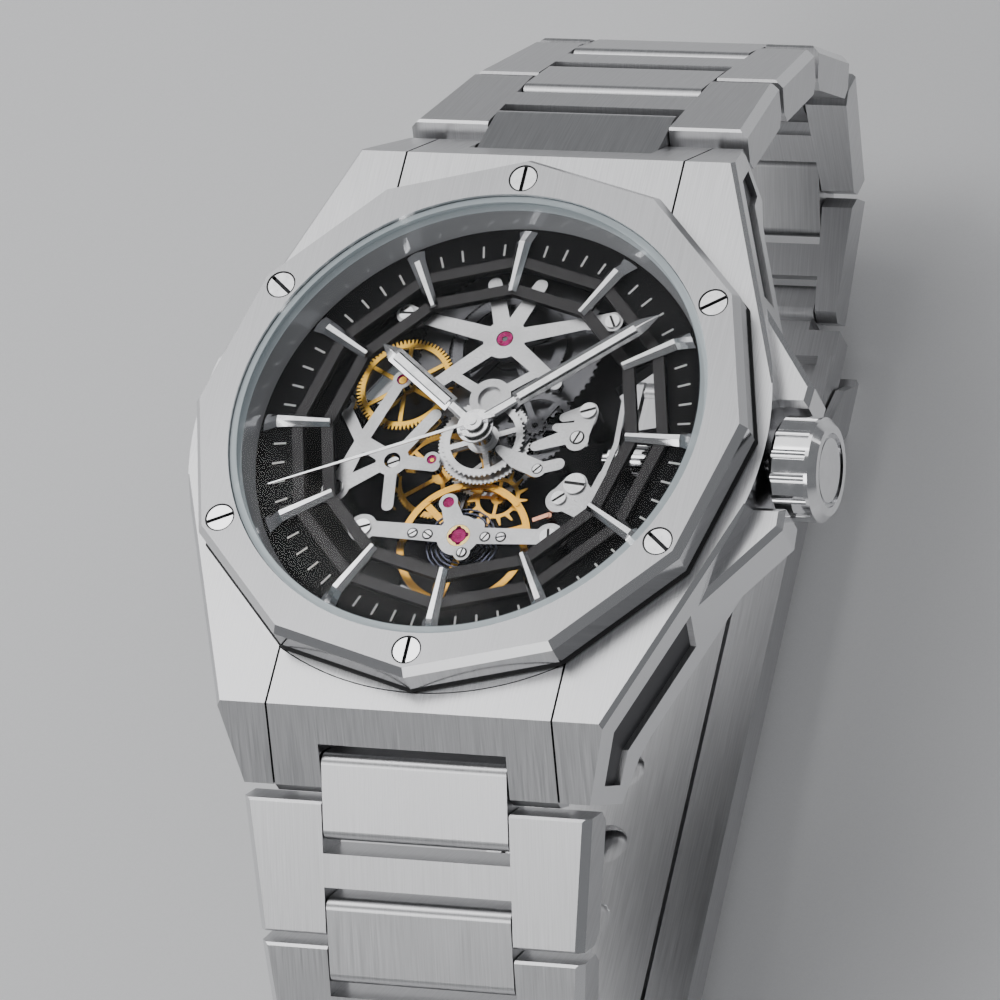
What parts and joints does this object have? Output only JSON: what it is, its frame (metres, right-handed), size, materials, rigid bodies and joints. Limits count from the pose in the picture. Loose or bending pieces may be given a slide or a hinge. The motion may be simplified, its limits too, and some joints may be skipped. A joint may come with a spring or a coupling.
{
  "type": "wristwatch",
  "caption": "Skeleton automatic wristwatch with a screwed twelve-sided bezel, integrated steel link bracelet and folding clasp.",
  "frame": {"origin": "centre of the flat of the case back, which lies on the wrist", "axes": "+Z out of the dial, +Y towards 12 o'clock, +X towards 3 o'clock and the crown"},
  "size_m": [0.0457, 0.0923, 0.0466],
  "materials": {
    "steel": "brushed",
    "polished_steel": "polished",
    "crystal": "clear",
    "dial_black": "satin black",
    "dark_plate": "matt anthracite",
    "bridge_steel": "satin",
    "gilt": "gilt",
    "dark_steel": "dark satin",
    "ruby": "polished",
    "spring_steel": "blued"
  },
  "bodies": {
    "head": {"case_middle": "steel", "bezel": "steel", "bezel_screws": "polished_steel", "crystal": "crystal", "inner_flange": "steel", "case_back": "steel", "back_crystal": "crystal", "end_link_12": "steel", "end_link_6": "steel", "dial": "dial_black", "hour_indices": "polished_steel", "main_plate": "dark_plate", "barrel_bridge": "bridge_steel", "train_bridge": "bridge_steel", "balance_bridge": "bridge_steel", "keyless_plates": "bridge_steel", "movement_jewels": "ruby", "movement_screws": "polished_steel", "hairspring": "spring_steel"},
    "seconds": {"seconds_hand": "polished_steel", "fourth_wheel": "bridge_steel"},
    "minutes": {"minute_hand": "polished_steel", "center_wheel": "bridge_steel"},
    "hours": {"hour_hand": "polished_steel", "hour_wheel": "bridge_steel"},
    "motion_wheel": {"minute_wheel": "dark_steel"},
    "third": {"third_wheel": "gilt"},
    "barrel": {"mainspring_barrel": "dark_steel"},
    "escape": {"escape_wheel": "gilt"},
    "pallets": {"pallet_fork": "dark_steel"},
    "balance": {"balance_wheel": "gilt"},
    "ratchet": {"ratchet_wheel": "dark_steel"},
    "winding": {"winding_wheel": "gilt"},
    "winding_rotor": {"rotor": "dark_steel"},
    "stem": {"winding_stem": "polished_steel"},
    "crown": {"crown": "polished_steel"},
    "centre_link_12_1": {"centre_link_12_1": "steel"},
    "outer_link_12_1": {"outer_link_12_1": "steel"},
    "centre_link_12_2": {"centre_link_12_2": "steel"},
    "outer_link_12_2": {"outer_link_12_2": "steel"},
    "centre_link_12_3": {"centre_link_12_3": "steel"},
    "outer_link_12_3": {"outer_link_12_3": "steel"},
    "centre_link_12_4": {"centre_link_12_4": "steel"},
    "outer_link_12_4": {"outer_link_12_4": "steel"},
    "centre_link_12_5": {"centre_link_12_5": "steel"},
    "outer_link_12_5": {"outer_link_12_5": "steel"},
    "centre_link_6_1": {"centre_link_6_1": "steel"},
    "outer_link_6_1": {"outer_link_6_1": "steel"},
    "centre_link_6_2": {"centre_link_6_2": "steel"},
    "outer_link_6_2": {"outer_link_6_2": "steel"},
    "centre_link_6_3": {"centre_link_6_3": "steel"},
    "outer_link_6_3": {"outer_link_6_3": "steel"},
    "centre_link_6_4": {"centre_link_6_4": "steel"},
    "outer_link_6_4": {"outer_link_6_4": "steel"},
    "centre_link_6_5": {"centre_link_6_5": "steel"},
    "outer_link_6_5": {"outer_link_6_5": "steel"},
    "clasp_short_blade": {"clasp_short_blade": "steel"},
    "clasp_long_blade": {"clasp_long_blade": "steel"},
    "clasp_cover": {"clasp_cover": "steel"},
    "clasp_safety_catch": {"clasp_safety_catch": "steel"}
  },
  "joints": [
    {"name": "seconds_turn", "type": "hinge", "parent": "head", "child": "seconds", "pos_m": [0, 0, 0.006], "axis": [0, 0, 1], "continuous": true},
    {"name": "minutes_turn", "type": "hinge", "parent": "head", "child": "minutes", "pos_m": [0, 0, 0.007], "axis": [0, 0, 1], "continuous": true},
    {"name": "hours_turn", "type": "hinge", "parent": "head", "child": "hours", "pos_m": [0, 0, 0.008], "axis": [0, 0, 1], "continuous": true},
    {"name": "motion_wheel_turn", "type": "hinge", "parent": "head", "child": "motion_wheel", "pos_m": [0.00355, 0.00122, 0.0077], "axis": [0, 0, 1], "continuous": true},
    {"name": "third_turn", "type": "hinge", "parent": "head", "child": "third", "pos_m": [-0.00335, -0.00186, 0.006], "axis": [0, 0, 1], "continuous": true},
    {"name": "barrel_turn", "type": "hinge", "parent": "head", "child": "barrel", "pos_m": [0, 0.00765, 0.006], "axis": [0, 0, 1], "continuous": true},
    {"name": "escape_turn", "type": "hinge", "parent": "head", "child": "escape", "pos_m": [0.0013, -0.00356, 0.006], "axis": [0, 0, 1], "continuous": true},
    {"name": "pallet_swing", "type": "hinge", "parent": "head", "child": "pallets", "pos_m": [-0.00131, -0.00515, 0.006], "axis": [0, 0, 1], "range_deg": [-4, 4]},
    {"name": "balance_swing", "type": "hinge", "parent": "head", "child": "balance", "pos_m": [0, -0.00765, 0.007], "axis": [0, 0, 1], "range_deg": [-270, 270]},
    {"name": "rotor_turn", "type": "hinge", "parent": "head", "child": "winding_rotor", "pos_m": [0, 0, 0.003], "axis": [0, 0, 1], "continuous": true},
    {"name": "winding_turn", "type": "hinge", "parent": "head", "child": "winding", "pos_m": [-0.00698, 0.00428, 0.0073], "axis": [0, 0, 1], "continuous": true},
    {"name": "ratchet_turn", "type": "hinge", "parent": "head", "child": "ratchet", "pos_m": [0, 0.00765, 0.0073], "axis": [0, 0, 1], "continuous": true},
    {"name": "stem_pull", "type": "slide", "parent": "head", "child": "stem", "axis": [1, 0, 0], "range_m": [0, 0.0012]},
    {"name": "crown_turn", "type": "hinge", "parent": "stem", "child": "crown", "pos_m": [0.022, 0, 0.0059], "axis": [1, 0, 0], "continuous": true},
    {"name": "centre_link_12_1_hinge", "type": "hinge", "parent": "head", "child": "centre_link_12_1", "pos_m": [0, 0.02417, 0.00433], "axis": [1, 0, 0], "range_deg": [0, 2]},
    {"name": "outer_link_12_1_hinge", "type": "hinge", "parent": "centre_link_12_1", "child": "outer_link_12_1", "pos_m": [0, 0.02701, 0.00309], "axis": [1, 0, 0], "range_deg": [0, 18]},
    {"name": "centre_link_12_2_hinge", "type": "hinge", "parent": "outer_link_12_1", "child": "centre_link_12_2", "pos_m": [0, 0.03257, -0.00117], "axis": [1, 0, 0], "range_deg": [0, 10]},
    {"name": "outer_link_12_2_hinge", "type": "hinge", "parent": "centre_link_12_2", "child": "outer_link_12_2", "pos_m": [0, 0.03481, -0.0033], "axis": [1, 0, 0], "range_deg": [0, 5]},
    {"name": "centre_link_12_3_hinge", "type": "hinge", "parent": "outer_link_12_2", "child": "centre_link_12_3", "pos_m": [0, 0.03981, -0.00821], "axis": [1, 0, 0], "range_deg": [0, 10.5]},
    {"name": "outer_link_12_3_hinge", "type": "hinge", "parent": "centre_link_12_3", "child": "outer_link_12_3", "pos_m": [0, 0.04176, -0.01062], "axis": [1, 0, 0], "range_deg": [0, 16]},
    {"name": "centre_link_12_4_hinge", "type": "hinge", "parent": "outer_link_12_3", "child": "centre_link_12_4", "pos_m": [0, 0.04494, -0.01685], "axis": [1, 0, 0], "range_deg": [0, 31]},
    {"name": "outer_link_12_4_hinge", "type": "hinge", "parent": "centre_link_12_4", "child": "outer_link_12_4", "pos_m": [0, 0.04494, -0.01995], "axis": [1, 0, 0], "range_deg": [0, 28]},
    {"name": "centre_link_12_5_hinge", "type": "hinge", "parent": "outer_link_12_4", "child": "centre_link_12_5", "pos_m": [0, 0.04209, -0.02635], "axis": [1, 0, 0], "range_deg": [0, 28]},
    {"name": "outer_link_12_5_hinge", "type": "hinge", "parent": "centre_link_12_5", "child": "outer_link_12_5", "pos_m": [0, 0.03979, -0.02842], "axis": [1, 0, 0], "range_deg": [0, 21.7]},
    {"name": "centre_link_6_1_hinge", "type": "hinge", "parent": "head", "child": "centre_link_6_1", "pos_m": [0, -0.02417, 0.00433], "axis": [-1, 0, 0], "range_deg": [0, 14]},
    {"name": "outer_link_6_1_hinge", "type": "hinge", "parent": "centre_link_6_1", "child": "outer_link_6_1", "pos_m": [0, -0.02654, 0.00234], "axis": [-1, 0, 0], "range_deg": [0, 5]},
    {"name": "centre_link_6_2_hinge", "type": "hinge", "parent": "outer_link_6_1", "child": "centre_link_6_2", "pos_m": [0, -0.03183, -0.00226], "axis": [-1, 0, 0], "range_deg": [0, 7]},
    {"name": "outer_link_6_2_hinge", "type": "hinge", "parent": "centre_link_6_2", "child": "outer_link_6_2", "pos_m": [0, -0.03406, -0.00441], "axis": [-1, 0, 0], "range_deg": [0, 6]},
    {"name": "centre_link_6_3_hinge", "type": "hinge", "parent": "outer_link_6_2", "child": "centre_link_6_3", "pos_m": [0, -0.03892, -0.00944], "axis": [-1, 0, 0], "range_deg": [0, 11]},
    {"name": "outer_link_6_3_hinge", "type": "hinge", "parent": "centre_link_6_3", "child": "outer_link_6_3", "pos_m": [0, -0.04079, -0.01192], "axis": [-1, 0, 0], "range_deg": [0, 17]},
    {"name": "centre_link_6_4_hinge", "type": "hinge", "parent": "outer_link_6_3", "child": "centre_link_6_4", "pos_m": [0, -0.04363, -0.01831], "axis": [-1, 0, 0], "range_deg": [0, 30]},
    {"name": "outer_link_6_4_hinge", "type": "hinge", "parent": "centre_link_6_4", "child": "outer_link_6_4", "pos_m": [0, -0.04352, -0.02141], "axis": [-1, 0, 0], "range_deg": [0, 27]},
    {"name": "centre_link_6_5_hinge", "type": "hinge", "parent": "outer_link_6_4", "child": "centre_link_6_5", "pos_m": [0, -0.04057, -0.02776], "axis": [-1, 0, 0], "range_deg": [0, 28]},
    {"name": "outer_link_6_5_hinge", "type": "hinge", "parent": "centre_link_6_5", "child": "outer_link_6_5", "pos_m": [0, -0.03823, -0.02979], "axis": [-1, 0, 0], "range_deg": [0, 32.5]},
    {"name": "clasp_end_hinge", "type": "hinge", "parent": "outer_link_6_5", "child": "clasp_short_blade", "pos_m": [0, -0.03139, -0.0313], "axis": [-1, 0, 0], "range_deg": [0, 12]},
    {"name": "blade_fold", "type": "hinge", "parent": "clasp_short_blade", "child": "clasp_long_blade", "pos_m": [0, 0.0254, -0.0313], "axis": [1, 0, 0], "range_deg": [0, 150]},
    {"name": "cover_fold", "type": "hinge", "parent": "clasp_long_blade", "child": "clasp_cover", "pos_m": [0, -0.02439, -0.0313], "axis": [-1, 0, 0], "range_deg": [0, 100]},
    {"name": "safety_catch_flip", "type": "hinge", "parent": "clasp_cover", "child": "clasp_safety_catch", "pos_m": [0, 0.0224, -0.0319], "axis": [-1, 0, 0], "range_deg": [0, 100]}
  ],
  "couplings": [
    {"joint": "minutes_turn", "follows": "seconds_turn", "ratio": 0.016667},
    {"joint": "hours_turn", "follows": "seconds_turn", "ratio": 0.0013889},
    {"joint": "motion_wheel_turn", "follows": "seconds_turn", "ratio": -0.0055556},
    {"joint": "third_turn", "follows": "seconds_turn", "ratio": -0.125},
    {"joint": "barrel_turn", "follows": "seconds_turn", "ratio": -0.0023148},
    {"joint": "escape_turn", "follows": "seconds_turn", "ratio": -8},
    {"joint": "winding_turn", "follows": "rotor_turn", "ratio": -0.16667},
    {"joint": "ratchet_turn", "follows": "rotor_turn", "ratio": 0.13889}
  ]
}
